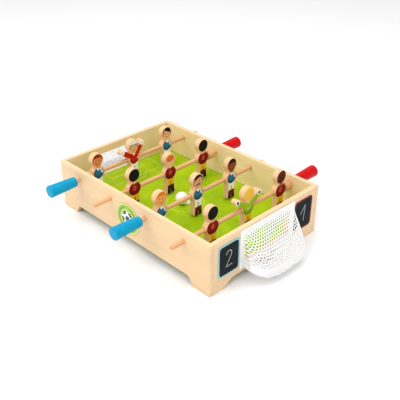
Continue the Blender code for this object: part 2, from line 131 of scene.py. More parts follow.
class PlayerSettings(bpy.types.PropertyGroup):
    rounding: FloatProperty(name="Rounding", description="Eased edge of a player",
                            default=0.9 * MM, unit="LENGTH")
    points: IntProperty(name="Outline points", description="Points round a player",
                        default=360, min=60, max=720)
    rounding_steps: IntProperty(name="Edge steps", description="Steps in an eased edge",
                                default=4, min=1, max=8)


class NetSettings(bpy.types.PropertyGroup):
    cell: FloatProperty(name="Cell", description="Width of one mesh of the net",
                        default=6.6 * MM, unit="LENGTH")
    strand: FloatProperty(name="Strand", description="Width of a strand",
                          default=1.6 * MM, unit="LENGTH")
    depth: FloatProperty(name="Strand depth", description="Thickness of a strand",
                         default=0.7 * MM, unit="LENGTH")
    fold: FloatProperty(name="Folds", description="Depth of the folds in the lower half",
                        default=2.6 * MM, unit="LENGTH")


class StageSettings(bpy.types.PropertyGroup):
    floor: FloatProperty(name="Floor", description="Length of the floor's sides",
                         default=14.0, unit="LENGTH")
    shade: FloatVectorProperty(name="Floor colour", description="Colour of the floor",
                               default=srgb(247, 247, 248), subtype="COLOR")


class FootballSettings(bpy.types.PropertyGroup):
    wood: PointerProperty(type=WoodSettings)
    paint: PointerProperty(type=PaintSettings)
    player: PointerProperty(type=PlayerSettings)
    net: PointerProperty(type=NetSettings)
    stage: PointerProperty(type=StageSettings)


# ---------------------------------------------------------------- surfaces

def grid_faces(rows, columns, closed_rows=False, closed_columns=False):
    """Four-sided faces between neighbouring points of a grid.

    Point (i, j) is number i * columns + j. A closed grid's last row or column joins its
    first one.
    """
    row = np.arange(rows if closed_rows else rows - 1)
    column = np.arange(columns if closed_columns else columns - 1)
    i, j = np.meshgrid(row, column, indexing="ij")
    below = (i + 1) % rows
    beside = (j + 1) % columns
    corners = (i * columns + j, i * columns + beside, below * columns + beside,
               below * columns + j)
    return np.stack(corners, -1).reshape(-1, 4)


def arc(centre, radius, start, end, count):
    """Points of an arc: centre + radius * (cos a, sin a), a in equal steps, in degrees."""
    angle = np.radians(np.linspace(start, end, count))
    return np.stack((centre[0] + radius * np.cos(angle), centre[1] + radius * np.sin(angle)), -1)


def turned(profile, centre, start, direction, closed=False, sides=72):
    """Profile of (radius, distance along) turned round a line along Y.

    Point = (x + radius * cos a, start + direction * along, z + radius * sin a).
    """
    angle = np.linspace(0, 2 * np.pi, sides, endpoint=False)
    radius = profile[:, :1]
    along = start + direction * profile[:, 1:] + 0 * angle
    points = np.stack((centre[0] + radius * np.cos(angle), along,
                       centre[1] + radius * np.sin(angle)), -1)
    return points.reshape(-1, 3), grid_faces(len(profile), sides, closed, True)


def slab(outline, thickness, rounding, steps):
    """Board with eased edges, as (depth, across, up), seen from its outline's middle.

    Its rows run from the middle of the front face out to the edge, over a quarter circle,
    along the rim and back to the middle of the back face. A row's point is the outline's
    point drawn in along its ray by the row's inset: rounding * (1 - sin a).
    """
    quarter = np.radians(np.linspace(0, 90, steps + 1))
    inset = rounding * (1 - np.sin(quarter))
    depth = thickness / 2 - rounding * (1 - np.cos(quarter))
    reach = np.linalg.norm(outline, axis=1)
    ray = outline / reach[:, None]
    ring = ray * (reach[None, :, None] - inset[:, None, None])
    middle = 0 * ring[:1]
    flat = np.concatenate((middle, ring, ring[::-1], middle))
    levels = np.concatenate((depth[:1], depth, -depth[::-1], -depth[:1]))
    points = np.concatenate((levels[:, None, None] + 0 * flat[..., :1], flat), -1)
    return points.reshape(-1, 3), grid_faces(len(levels), len(outline), False, True)


def mesh_of(name, points, faces):
    """Mesh with its seams and poles merged and its faces pointing outwards."""
    mesh = bpy.data.meshes.new(name)
    mesh.from_pydata(np.asarray(points).tolist(), [], np.asarray(faces).tolist())
    work = bmesh.new()
    work.from_mesh(mesh)
    bmesh.ops.remove_doubles(work, verts=work.verts, dist=1e-6)
    bmesh.ops.recalc_face_normals(work, faces=work.faces)
    work.to_mesh(mesh)
    work.free()
    return mesh


def add_piece(name, mesh, material, body, replaced=(), sharp=35):
    """Object of a mesh that is already in place, riding on a body of the frame."""
    mesh.materials.clear()
    mesh.materials.append(material)
    mesh.shade_smooth()
    mesh.set_sharp_from_angle(angle=math.radians(sharp))
    piece = bpy.data.objects.new(name, mesh)
    bpy.context.scene.collection.objects.link(piece)
    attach(piece, body)
    if replaced:
        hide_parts(*replaced)
    return piece


def low_high(node):
    low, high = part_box(node)
    return np.array(low), np.array(high)


def coat_node(node, material):
    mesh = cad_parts[node].data
    mesh.materials.clear()
    mesh.materials.append(material)


# ---------------------------------------------------------------- shader maths

class Signal:
    """A number in a material's nodes, worked on with Python's operators."""

    def __init__(self, web, socket):
        self.web = web
        self.socket = socket

    def math(self, operation, *values, clamp=False):
        settings = {"operation": operation, "use_clamp": clamp}
        node = self.web.node("ShaderNodeMath", settings, dict(enumerate(values)))
        return Signal(self.web, node.outputs[0])

    def __add__(self, other):
        return self.math("ADD", self, other)

    __radd__ = __add__

    def __sub__(self, other):
        return self.math("SUBTRACT", self, other)

    def __rsub__(self, other):
        return self.math("SUBTRACT", other, self)

    def __mul__(self, other):
        return self.math("MULTIPLY", self, other)

    __rmul__ = __mul__

    def __truediv__(self, other):
        return self.math("DIVIDE", self, other)

    def __pow__(self, other):
        return self.math("POWER", self, other)

    def __neg__(self):
        return self * -1

    def __abs__(self):
        return self.math("ABSOLUTE", self)

    def clamped(self):
        return self.math("ADD", self, 0, clamp=True)

    def larger(self, other):
        return self.math("MAXIMUM", self, other)

    def smaller(self, other):
        return self.math("MINIMUM", self, other)

    def scaled(self, factor, shift, clamp=False):
        """This number times a factor, plus a shift."""
        return self.math("MULTIPLY_ADD", self, factor, shift, clamp=clamp)

    def across(self, other):
        """Length of the vector that has this number and the other as its sides."""
        vector = self.web.join(self, other, 0)
        length = self.web.node("ShaderNodeVectorMath", {"operation": "LENGTH"}, {0: vector})
        return Signal(self.web, length.outputs["Value"])


class Web:
    """The nodes of one material."""

    def __init__(self, name):
        self.material = bpy.data.materials.new(name)
        self.material.use_nodes = True
        self.tree = self.material.node_tree
        self.tree.nodes.clear()

    def node(self, kind, settings=(), sockets=()):
        """Any node: its type, its settings, then its sockets' values or links."""
        node = self.tree.nodes.new(kind)
        for name, value in dict(settings).items():
            setattr(node, name, value)
        for name, value in dict(sockets).items():
            self.feed(node.inputs[name], value)
        return node

    def feed(self, socket, value):
        if isinstance(value, Signal):
            value = value.socket
        if isinstance(value, bpy.types.NodeSocket):
            self.tree.links.new(value, socket)
        elif socket.type == "RGBA":
            socket.default_value = (*tuple(value)[:3], 1)
        else:
            socket.default_value = value

    def mix(self, share, under, over):
        """Colour under, covered with colour over by a share of 0 to 1."""
        node = self.node("ShaderNodeMix", {"data_type": "RGBA"}, {0: share, 6: under, 7: over})
        return node.outputs[2]

    def vector(self, operation, first, second):
        node = self.node("ShaderNodeVectorMath", {"operation": operation},
                         {0: first, 1: second})
        return node.outputs[0]

    def place(self, centre=(0, 0, 0)):
        """Place on the object in millimetres from a centre given in metres."""
        source = self.node("ShaderNodeTexCoord").outputs["Object"]
        moved = self.vector("SUBTRACT", source, tuple(centre))
        return self.vector("MULTIPLY", moved, (1 / MM,) * 3)

    def sides(self, vector):
        node = self.node("ShaderNodeSeparateXYZ", {}, {0: vector})
        return [Signal(self, output) for output in node.outputs]

    def join(self, x, y, z):
        return self.node("ShaderNodeCombineXYZ", {}, {0: x, 1: y, 2: z}).outputs[0]

    def noise(self, vector, scale, detail=2.0, roughness=0.5, distortion=0.0):
        sockets = {"Vector": vector, "Scale": scale, "Detail": detail,
                   "Roughness": roughness, "Distortion": distortion}
        return Signal(self, self.node("ShaderNodeTexNoise", {}, sockets).outputs[0])

    def bump(self, height, distance, strength):
        sockets = {"Height": height, "Distance": distance, "Strength": strength}
        return self.node("ShaderNodeBump", {}, sockets).outputs[0]

    def finish(self, colour, roughness, normal, **constants):
        """The surface itself. Constants are Principled sockets, with _ for a space."""
        sockets = {"Base Color": colour, "Roughness": roughness, "Normal": normal}
        sockets.update({name.replace("_", " "): value for name, value in constants.items()})
        surface = self.node("ShaderNodeBsdfPrincipled", {}, sockets)
        self.node("ShaderNodeOutputMaterial", {}, {"Surface": surface.outputs[0]})
        return self.material


def oval(u, v, centre, halves):
    """Distance outside an oval: (length of (u / a, v / b) - 1) times its smaller half."""
    reach = u.scaled(1 / halves[0], -centre[0] / halves[0]).across(
        v.scaled(1 / halves[1], -centre[1] / halves[1]))
    return reach.scaled(min(halves), -min(halves))


def block(u, v, centre, halves):
    """Distance outside an upright rectangle: the larger of |u| - a and |v| - b."""
    return (abs(u - centre[0]) - halves[0]).larger(abs(v - centre[1]) - halves[1])


def stroke(u, v, start, end, radius):
    """Distance outside a round-ended stroke: length from the nearest point of its line."""
    run = (end[0] - start[0], end[1] - start[1])
    square = run[0] ** 2 + run[1] ** 2
    past = -(start[0] * run[0] + start[1] * run[1]) / square
    share = u.math("MULTIPLY_ADD", u, run[0] / square, v.scaled(run[1] / square, past),
                   clamp=True)
    near = (share.scaled(run[0], start[0]), share.scaled(run[1], start[1]))
    return (u - near[0]).across(v - near[1]) - radius


def cover(distance, soft=0.3):
    """1 inside a shape and 0 outside it, over an edge of soft millimetres."""
    return distance.scaled(-1 / soft, 0.5, clamp=True)


def painted(web, colour, layers):
    """A colour with shapes painted over it, each a (distance, colour)."""
    for distance, over in layers:
        colour = web.mix(cover(distance), colour, over)
    return colour


# ---------------------------------------------------------------- finishes

def shade(colour, factor, warmth=1.0):
    """A darker or lighter colour, no brighter than 1. Warmth over 1 takes more blue out."""
    powers = (1, 1.12, 1.25 * warmth)
    return tuple(min(part * factor ** power, 1.0) for part, power in zip(colour, powers))


def mixed(first, second):
    """Colour halfway between two colours."""
    return tuple((a + b) / 2 for a, b in zip(first, second))


def wood(web, point, along, colour, strength=1.0, seed=0.0):
    """Close-grained pale wood: colour, roughness and height.

    Three noises are stretched along the grain: cloudy bands of 20 mm, streaks of 3 mm and
    fibres of 0.5 mm, and sparse short flecks are cut from a fourth one.
    """
    stretch = [1.0, 1.0, 1.0]
    stretch[along] = 0.07
    moved = web.vector("ADD", point, (seed, seed * 1.7, seed * 0.6))
    grain = web.vector("MULTIPLY", moved, tuple(stretch))
    bands = web.noise(grain, 0.045, 2, 0.5, 0.6)
    streaks = web.noise(grain, 0.33, 3, 0.55, 0.3)
    fibres = web.noise(grain, 1.9, 2, 0.6)
    flecks = web.noise(web.vector("MULTIPLY", grain, (1.6, 1.6, 1.6)), 0.7, 1, 0.5)
    tone = web.mix(((bands - 0.32) * 2.4 * strength).clamped(), shade(colour, 1.07),
                   shade(colour, 0.86))
    tone = web.mix(((streaks - 0.47) * 3.2).clamped() * (0.42 * strength), tone,
                   shade(colour, 0.66, 1.1))
    tone = web.mix(((fibres - 0.5) * 3).clamped() * (0.20 * strength), tone,
                   shade(colour, 0.6, 1.1))
    tone = web.mix(((flecks - 0.69) * 14).clamped() * (0.35 * strength), tone,
                   shade(colour, 0.48, 1.2))
    roughness = 0.42 + 0.18 * streaks + 0.08 * fibres
    height = 0.6 * fibres + 0.4 * streaks
    return tone, roughness, height


def wall_finish(name, along, settings):
    """Lacquered wall: pale outside, yellower inside, where the inner faces take a lighter copy of
    the wood as painted light for the shaded inside of the tray; end grain darker at cut edges.
    """
    web = Web(name)
    point = web.place()
    x, y, z = web.sides(point)
    outer = wood(web, point, along, tuple(settings.wall), settings.grain, 30 * along)
    # Painted light: the inner faces get a lighter copy of the wood, standing in for light inside
    # the shaded tray.
    inside = wood(web, point, along, tuple(settings.inner), settings.grain, 30 * along)
    in_x = abs(x) - HALF_LENGTH / MM + WALL_THICKNESS
    in_y = abs(y) - HALF_WIDTH / MM + WALL_THICKNESS
    within = cover(in_x.larger(in_y) - 1, 0.6)
    colour = web.mix(within, outer[0], inside[0])
    cloud = web.noise(point, 0.011, 2, 0.5)
    colour = web.mix(((cloud - 0.45) * 1.4).clamped() * 0.16, colour,
                     shade(tuple(settings.wall), 0.8, 1.2))
    joint = (abs(in_y) - 0.25).larger(WALL_THICKNESS - 2 - in_x)
    colour = web.mix(cover(joint, 0.25) * 0.6, colour, shade(tuple(settings.wall), 0.35))
    # Darker towards the bottom: each wall is mixed towards a darker wood tone, fully at the floor
    # and fading out by 11 mm up.
    darker_low = cover(z - 6, 10) * 0.22
    colour = web.mix(darker_low, colour, shade(tuple(settings.wall), 0.62))
    normal = web.bump(outer[2], 0.00012, 0.6)
    return web.finish(colour, outer[1], normal, Coat_Weight=0.12, Coat_Roughness=0.35)


def plain_wood(name, along, colour, settings, seed, coat=0.08):
    """Bare or thinly oiled wood of rods and stop rings."""
    web = Web(name)
    tone, roughness, height = wood(web, web.place(), along, tuple(colour),
                                   settings.grain, seed)
    return web.finish(tone, roughness, web.bump(height, 0.0001, 0.6), Coat_Weight=coat,
                      Coat_Roughness=0.4)


def paint_finish(name, colour, centre, start, direction):
    """Dipped gloss paint: slightly uneven, with rubbed edges and fine wrinkles."""
    web = Web(name)
    point = web.place((centre[0], start, centre[1]))
    x, y, z = web.sides(point)
    pools = web.noise(point, 0.09, 2, 0.5)
    specks = web.noise(point, 1.4, 3, 0.6)
    tone = web.mix(((pools - 0.35) * 1.9).clamped() * 0.55, shade(colour, 1.12),
                   shade(colour, 0.78))
    reach = x.across(z)
    edge = cover(abs(reach - 11.6 - 0.0357 * y * direction) - 0.35, 0.5)
    worn = edge * ((specks - 0.62) * 9).clamped() * 0.5
    tone = web.mix(worn, tone, srgb(226, 190, 150))
    grain = web.noise(web.vector("MULTIPLY", point, (1, 0.08, 1)), 0.9, 2, 0.5)
    height = 0.55 * pools + 0.25 * grain + 0.2 * specks
    roughness = 0.26 + 0.14 * specks + 0.25 * worn
    return web.finish(tone, roughness, web.bump(height, 0.00025, 0.5), Coat_Weight=0.04,
                      Coat_Roughness=0.2, Specular_IOR_Level=0.12)


def field_finish(settings, half_x, half_y):
    """Printed field: two soft greens, fine blades, lines, areas, circle and spot."""
    web = Web("printed_field")
    point = web.place()
    x, y, _ = web.sides(point)
    patch = web.noise(point, 0.016, 3, 0.5, 0.8)
    turf = web.noise(web.vector("MULTIPLY", point, (1, 0.35, 1)), 0.22, 4, 0.6)
    blade = web.noise(point, 1.6, 2, 0.6)
    light = tuple(settings.field)
    colour = web.mix(((patch - 0.38) * 3.4).clamped(), light, tuple(settings.field_dark))
    colour = web.mix(((turf - 0.42) * 2.6).clamped() * 0.4, colour, shade(light, 1.18))
    colour = web.mix(((blade - 0.5) * 3).clamped() * 0.16, colour, srgb(96, 148, 0))
    side = abs(x)
    halfway = side - 0.8
    circle = abs(x.across(y) - 44) - 0.8
    penalty_area = abs(block(side, y, (half_x, 0), (64, 84))) - 0.8
    goal_area = abs(block(side, y, (half_x, 0), (30, 52))) - 0.8
    goal_line = abs(side - half_x + 8) - 0.7
    side_line = abs(abs(y) - half_y + 8) - 0.7
    penalty_arc = (abs((side - half_x + 44).across(y) - 34) - 0.8).larger(side - half_x + 64)
    drawn = halfway
    for line in (circle, penalty_area, goal_area, goal_line, side_line, penalty_arc):
        drawn = drawn.smaller(line)
    colour = web.mix(cover(drawn, 0.8) * (0.55 + 0.3 * turf), colour, tuple(settings.line))
    colour = painted(web, colour, [(oval(x, y, (0, 0), (11.5, 11.5)), srgb(238, 246, 214))])
    roughness = 0.5 + 0.16 * turf
    height = 0.5 * blade + 0.5 * turf
    return web.finish(colour, roughness, web.bump(height, 0.00008, 0.5),
                      Specular_IOR_Level=0.15)


def chalkboard_finish(name, centre, halves, border, digit):
    """Matt black board: rim of another colour, wiped chalk dust and a chalk numeral."""
    web = Web(name)
    point = web.place(centre)
    _, y, z = web.sides(point)
    smear = web.noise(web.vector("MULTIPLY", point, (1, 0.5, 1.6)), 0.07, 4, 0.65, 1.5)
    dust = web.noise(point, 2.2, 2, 0.7)
    tone = web.mix(((smear - 0.45) * 2.2).clamped() * 0.25, srgb(14, 20, 24),
                   srgb(56, 66, 72))
    tone = web.mix(((dust - 0.6) * 5).clamped() * 0.1, tone, srgb(110, 116, 120))
    edge = (abs(y / halves[0]) ** BOARD_ROUNDNESS
            + abs(z / halves[1]) ** BOARD_ROUNDNESS) ** (1 / BOARD_ROUNDNESS)
    tone = web.mix(cover((0.91 - edge) * 30, 0.4), tone, border)
    rough_chalk = ((dust - 0.28) * 4).clamped()
    drawn = None
    for line in digit:
        part = stroke(y, z, *line, 0.75)
        drawn = part if drawn is None else drawn.smaller(part)
    chalk = cover(drawn, 0.5) * rough_chalk
    tone = web.mix(chalk * 0.85, tone, srgb(222, 224, 224))
    roughness = 0.72 + 0.2 * dust
    height = 0.6 * dust + 0.4 * chalk
    return web.finish(tone, roughness, web.bump(height, 0.00012, 0.6), Specular_IOR_Level=0.25)


def badge_finish(centre):
    """Printed round badge: pale rim, lime ring with dashes, thin ring and a ball.

    The ball is a disc with a five-sided patch in the middle, five more at its rim and
    seams between them, all from the radius and the angle folded into one fifth.
    """
    web = Web("badge_print")
    point = web.place(centre)
    x, _, z = web.sides(point)
    reach = x.across(z)
    angle = x.math("ARCTAN2", x, z)
    fifth = math.radians(72)
    folded = angle.math("PINGPONG", angle + 10 * fifth, fifth / 2)
    mottle = web.noise(point, 0.5, 3, 0.6)
    tone = web.mix(((mottle - 0.35) * 2).clamped(), srgb(158, 194, 14), srgb(124, 170, 10))
    dash = abs(angle.math("PINGPONG", angle + 10 * fifth, math.radians(7.5)) - math.radians(3.7))
    dashes = (abs(reach - 27.5) - 2.6).larger((dash - math.radians(1.7)) * 27)
    gap = abs(angle) * 27 - 6
    dashes = dashes.larger(-gap)
    tone = painted(web, tone, [
        (dashes, srgb(40, 74, 8)),
        (abs(reach - 22.3) - 0.7, srgb(226, 232, 150)),
        (reach - 21.6, srgb(150, 190, 16)),
        (abs(reach - 35.2) - 1.3, srgb(234, 232, 152)),
        (abs(reach - 33.4) - 0.35, srgb(60, 96, 24)),
        (reach - 18.7, srgb(14, 16, 16)),
        (reach - 18.0, srgb(244, 244, 246)),
    ])
    side_across = reach * folded.math("COSINE", folded)
    patch = side_across - 7.0
    far = reach * folded.math("COSINE", fifth / 2 - folded)
    rim_patch = (12.2 - far).larger(abs((folded - fifth / 2) * reach) - 6.0)
    rim_patch = rim_patch.larger(reach - 18.0)
    seam = (abs((folded - fifth / 2) * reach) - 0.45).larger(6.0 - reach).larger(reach - 13.5)
    tone = painted(web, tone, [
        (patch, srgb(16, 18, 20)), (rim_patch, srgb(16, 18, 20)), (seam, srgb(40, 42, 46)),
    ])
    roughness = 0.3 + 0.2 * mottle
    return web.finish(tone, roughness, web.bump(mottle, 0.00005, 0.5), Coat_Weight=0.3,
                      Coat_Roughness=0.2)


def tape_finish(name):
    """White woven tape: fine ribs both ways and faint cloudy greying."""
    web = Web(name)
    point = web.place()
    _, y, z = web.sides(point)
    warp = y.math("SINE", y * (2 * math.pi / 0.9))
    weft = z.math("SINE", z * (2 * math.pi / 0.9))
    weave = warp * weft * 0.5 + 0.5
    cloud = web.noise(point, 0.12, 3, 0.6)
    tone = web.mix(((cloud - 0.4) * 1.8).clamped() * 0.4, srgb(255, 255, 255),
                   srgb(243, 243, 243))
    tone = web.mix(weave * 0.1, tone, srgb(216, 216, 217))
    return web.finish(tone, 0.82 + 0.1 * weave, web.bump(weave, 0.0002, 0.7),
                      Sheen_Weight=0.2)


def net_finish(name):
    """White twisted thread of the net."""
    web = Web(name)
    point = web.place()
    x, y, z = web.sides(point)
    twist = x.math("SINE", (x + y + z) * (2 * math.pi / 0.7)) * 0.5 + 0.5
    cloud = web.noise(point, 0.08, 3, 0.6)
    tone = web.mix(twist * 0.12, srgb(255, 255, 255), srgb(226, 226, 227))
    tone = web.mix(((cloud - 0.45) * 2).clamped() * 0.2, tone, srgb(238, 238, 239))
    return web.finish(tone, 0.78 + 0.12 * twist, web.bump(twist, 0.00015, 0.6),
                      Sheen_Weight=0.2)


def ball_finish(centre):
    """White painted ball with faint scuffs."""
    web = Web("white_ball_paint")
    point = web.place(centre)
    cloud = web.noise(point, 0.1, 3, 0.6)
    scuff = web.noise(web.vector("MULTIPLY", point, (1, 1, 0.2)), 0.8, 3, 0.7)
    tone = web.mix(((cloud - 0.4) * 2).clamped() * 0.35, srgb(250, 250, 249),
                   srgb(226, 226, 224))
    marks = ((scuff - 0.66) * 12).clamped()
    tone = web.mix(marks * 0.3, tone, srgb(176, 176, 170))
    return web.finish(tone, 0.3 + 0.25 * marks + 0.1 * cloud,
                      web.bump(0.7 * cloud + 0.3 * scuff, 0.0002, 0.4), Coat_Weight=0.25,
                      Coat_Roughness=0.2)


# ---------------------------------------------------------------- printed players

WHITE = srgb(255, 253, 252)
DARK = srgb(34, 20, 18)

BLUE_KIT = {"shirt": srgb(38, 116, 164), "shirt_dark": srgb(20, 62, 104), "trim": WHITE,
            "shorts": srgb(255, 250, 246), "socks": srgb(106, 34, 24),
            "shoes": srgb(52, 18, 14), "trunk": (13.4, 14.0)}
RED_KIT = {"shirt": srgb(150, 12, 14), "shirt_dark": srgb(92, 6, 10),
           "trim": srgb(220, 120, 104), "shorts": srgb(240, 186, 14),
           "socks": srgb(70, 26, 18), "shoes": srgb(26, 14, 12), "trunk": (16.8, 16.2)}
BLUE_KEEPER_KIT = {**BLUE_KIT, "shirt": srgb(206, 24, 14), "shirt_dark": srgb(150, 12, 10),
                   "palm": srgb(216, 206, 196), "palm_size": (2.4, 3.4)}
RED_KEEPER_KIT = {**RED_KIT, "shirt": srgb(156, 190, 34), "shirt_dark": srgb(108, 150, 24),
                  "trim": srgb(214, 226, 120), "palm": srgb(18, 14, 16),
                  "palm_size": (3.2, 3.9)}

# Head prints: skin, hair, features and style of hair
HEADS = {
    "blue_goal_player_near": (srgb(232, 142, 80), srgb(150, 44, 12), "cap", None),
    "blue_goal_keeper": (srgb(244, 186, 128), srgb(240, 238, 228), "hat", srgb(226, 180, 96)),
    "blue_goal_player_far": (srgb(240, 178, 128), srgb(24, 14, 12), "side", None),
    "red_front_player_near": (srgb(238, 178, 130), srgb(16, 12, 14), "round", None),
    "red_front_player_middle": (srgb(244, 190, 140), srgb(226, 110, 40), "short", None),
    "red_front_player_far": (srgb(236, 172, 124), srgb(14, 10, 10), "round", None),
    "blue_front_player_near": (srgb(246, 176, 96), srgb(236, 122, 16), "cap", None),
    "blue_front_player_middle": (srgb(238, 172, 128), srgb(52, 16, 10), "parted",
                                 srgb(112, 40, 16)),
    "blue_front_player_far": (srgb(150, 72, 30), srgb(22, 10, 8), "cap", None),
    "red_goal_player_near": (srgb(236, 178, 130), srgb(14, 12, 14), "round", None),
    "red_goal_keeper": (srgb(246, 196, 140), srgb(242, 196, 70), "round", None),
    "red_goal_player_far": (srgb(156, 84, 44), srgb(82, 30, 20), "round", None),
}


def leg_layers(u, v, kit):
    """Shorts, the gap between the legs, socks and shoes."""
    side = abs(u)
    return [
        (block(side, v, (5.4, -36), (4.6, 9)), kit["socks"]),
        (block(side, v, (5.5, -47), (5.0, 5)), kit["shoes"]),
        (oval(side, v, (5.8, -50), (5.3, 2.7)), kit["shoes"]),
        (block(side, v, (5.2, -20), (5.2, 10)), kit["shorts"]),
        (stroke(u, v, (0, -20), (0, -42), 0.95), DARK),
    ]


def shirt_layers(u, v, kit):
    """Shirt seen from either side, darker towards its lower edge."""
    across, up = kit["trunk"]
    trunk = oval(u, v, (0, 1.5), (across, up)).larger(-14 - v)
    inner = oval(u, v, (0, 2.5), (across * 0.8, up * 0.78))
    return [(trunk, kit["shirt_dark"]), (inner, kit["shirt"]),
            ((inner + 0.1).larger(v + 4 - abs(u) * 0.25),
             mixed(kit["shirt"], kit["shirt_dark"]))]


def arm_layers(u, v, hands, kit):
    """Raised sleeves, with a white glove and its dark palm at each hand."""
    layers = []
    for side, hand in zip((-1, 1), hands):
        palm = (side * hand[0] / MM, hand[1] / MM)
        root = (side * ARM_ROOT[0] / MM, ARM_ROOT[1] / MM)
        wrist = tuple(r + (p - r) * 0.76 for r, p in zip(root, palm))
        layers.append((stroke(u, v, root, wrist, 6.2), kit["shirt"]))
        layers.append((oval(u, v, palm, (6.3, 6.3)), srgb(255, 252, 250)))
        layers.append((oval(u, v, palm, kit["palm_size"]), kit["palm"]))
    return layers


def face_layers(u, v, head):
    """Face with hair, eyes, brows, nose and mouth, and a cap, beard or moustache."""
    skin, hair, style, growth = head
    crown = oval(u, v, (0, 35.2), (14.0, 15.2))
    face = oval(u, v, (0, 31.8), (11.8, 14.2))
    if style == "parted":
        face = face.larger(v - 41 - u * 0.25).smaller(oval(u, v, (2.5, 38), (3.6, 4.6)))
    if style == "side":
        face = face.larger(v - 40 + u * 0.45)
    if style == "cap":
        face = face.larger(v - 40.5)
    if style == "hat":
        face = face.larger(v - 37.5)
    layers = [(block(u, v, (0, 19), (4.2, 4)), skin), (crown, hair), (face, skin)]
    if style == "hat":
        sides = oval(u, v, (0, 33), (13, 9)).larger(v - 38).larger(9.8 - abs(u))
        layers += [(sides, srgb(70, 36, 20)), (stroke(u, v, (-12.5, 38.5), (12.5, 38.5), 0.9),
                                               srgb(120, 120, 118))]
    shadow = shade(skin, 0.6)
    side = abs(u)
    layers += [
        (oval(side, v, (4.4, 33.6), (1.4, 1.6)), DARK),
        (stroke(side, v, (2.6, 37.2), (6.6, 37.8), 0.6), shade(hair, 0.5) if style != "hat"
         else srgb(90, 50, 26)),
        (stroke(u, v, (0.4, 33.0), (1.0, 29.0), 0.6), shadow),
        (oval(side, v, (6.6, 28.6), (2.2, 1.9)), shade(skin, 0.82, 0.9)),
    ]
    if growth and style == "hat":
        beard = oval(u, v, (0, 26), (10.4, 8.6)).larger(v - 28)
        layers.append((beard, growth))
    smile = (abs(u.across(v - 30.2) - 5.8) - 0.7).larger(v - 27)
    layers.append((smile, srgb(150, 40, 30)))
    if growth and style == "parted":
        layers.append((stroke(side, v, (0.6, 28), (6.0, 24.6), 1.4), growth))
    return layers


def neck_layers(u, v, head):
    """Back of the head: hair down to the nape, or short hair over bare skin."""
    skin, hair, style, _ = head
    layers = [(block(u, v, (0, 19), (4.2, 4)), skin)]
    if style == "short":
        layers += [(oval(u, v, (0, 35), (12.2, 14)), skin),
                   (oval(u, v, (0, 39), (11.6, 8.4)).larger(30 - v), hair)]
    else:
        layers.append((oval(u, v, (0, 35.5), (15, 15.3)), hair))
    return layers


def front_layers(u, v, kit, head, hands):
    collar = (7.5 + abs(u) * 1.25 - v).larger(oval(u, v, (0, 1.5), kit["trunk"]))
    layers = leg_layers(u, v, kit) + shirt_layers(u, v, kit)
    layers += [
        ((stroke(u, v, (6.4, 12), (10.4, 1.5), 2.1)).larger(oval(u, v, (0, 1.5), kit["trunk"])),
         shade(kit["trim"], 0.85)),
        (collar, kit["trim"]),
    ]
    return layers + arm_layers(u, v, hands, kit) + face_layers(u, v, head)


def back_layers(u, v, kit, head, hands):
    mark = abs(oval(u, v, (0, 3), (3.2, 4.4))) - 0.7
    layers = leg_layers(u, v, kit) + shirt_layers(u, v, kit)
    layers += [(mark, kit["trim"]), (stroke(u, v, (-6, 14.5), (6, 14.5), 0.8), kit["trim"])]
    return layers + arm_layers(u, v, hands, kit) + neck_layers(u, v, head)


def player_finish(name, centre, facing, kit, head, hands, settings, thickness):
    """Printed player: pictures on the two flat faces and bare wood round the rim."""
    web = Web(name)
    point = web.place(centre)
    depth, across, up = web.sides(point)
    seed = 7.0 * (sum(ord(letter) for letter in name) % 23)
    bare, roughness, height = wood(web, point, 2, tuple(settings.player),
                                   settings.grain, seed)
    edge = thickness / MM / 2 - 0.5
    u = across * facing
    front = painted(web, bare, front_layers(u, up, kit, head, hands))
    back = painted(web, bare, back_layers(-u, up, kit, head, hands[::-1]))
    forward = depth * facing
    tone = web.mix(cover(edge - forward, 0.2), bare, front)
    tone = web.mix(cover(edge + forward, 0.2), tone, back)
    ink = web.noise(point, 0.8, 2, 0.6)
    tone = web.mix(((ink - 0.5) * 3).clamped() * 0.015, tone, srgb(236, 200, 160))
    return web.finish(tone, roughness + 0.08, web.bump(height, 0.00008, 0.5),
                      Specular_IOR_Level=0.12)


def figure_distance(across, up, hands, body_radius):
    """Distance outside a player's outline: the least of its shapes' own distances.

    Head and trunk are circles, the neck a rectangle, the legs a rectangle with rounded
    corners, and each raised arm a stroke from shoulder to hand.
    """
    head = np.hypot(across, up - HEAD_HEIGHT) - HEAD_RADIUS
    trunk = np.hypot(across, up) - body_radius
    neck = np.maximum(np.abs(across) - NECK_HALF_WIDTH,
                      np.abs(up - HEAD_HEIGHT / 2) - HEAD_HEIGHT / 2)
    top = OUTLINE_CENTRE + 1 * MM
    middle = (top - FOOT_DEPTH) / 2
    half = (top + FOOT_DEPTH) / 2 - FOOT_ROUNDING
    out = np.maximum(np.abs(across) - LEG_HALF_WIDTH + FOOT_ROUNDING, 0)
    past = np.maximum(np.abs(up - middle) - half, 0)
    legs = np.hypot(out, past) - FOOT_ROUNDING
    shapes = [head, trunk, neck, legs]
    for side, hand in zip((-1, 1), hands):
        root = np.array((side * ARM_ROOT[0], ARM_ROOT[1]))
        run = np.array((side * hand[0], hand[1])) - root
        share = ((across - root[0]) * run[0] + (up - root[1]) * run[1]) / (run @ run)
        share = np.clip(share, 0, 1)
        shapes.append(np.hypot(across - root[0] - share * run[0],
                               up - root[1] - share * run[1]) - ARM_RADIUS)
    return np.min(shapes, axis=0)


def figure_outline(hands, body_radius, count):
    """Outline of a player round (0, OUTLINE_CENTRE): on each ray, its last point inside."""
    angle = np.linspace(0, 2 * np.pi, count, endpoint=False) - np.pi / 2
    step = 0.05 * MM
    reach = np.arange(0, 80 * MM, step)
    distance = figure_distance(reach[:, None] * np.cos(angle),
                               OUTLINE_CENTRE + reach[:, None] * np.sin(angle),
                               hands, body_radius)
    inside = distance < 0
    last = len(reach) - 1 - np.argmax(inside[::-1], axis=0)
    far = reach[last] + step / 2
    return np.stack((far * np.cos(angle), far * np.sin(angle)), -1)


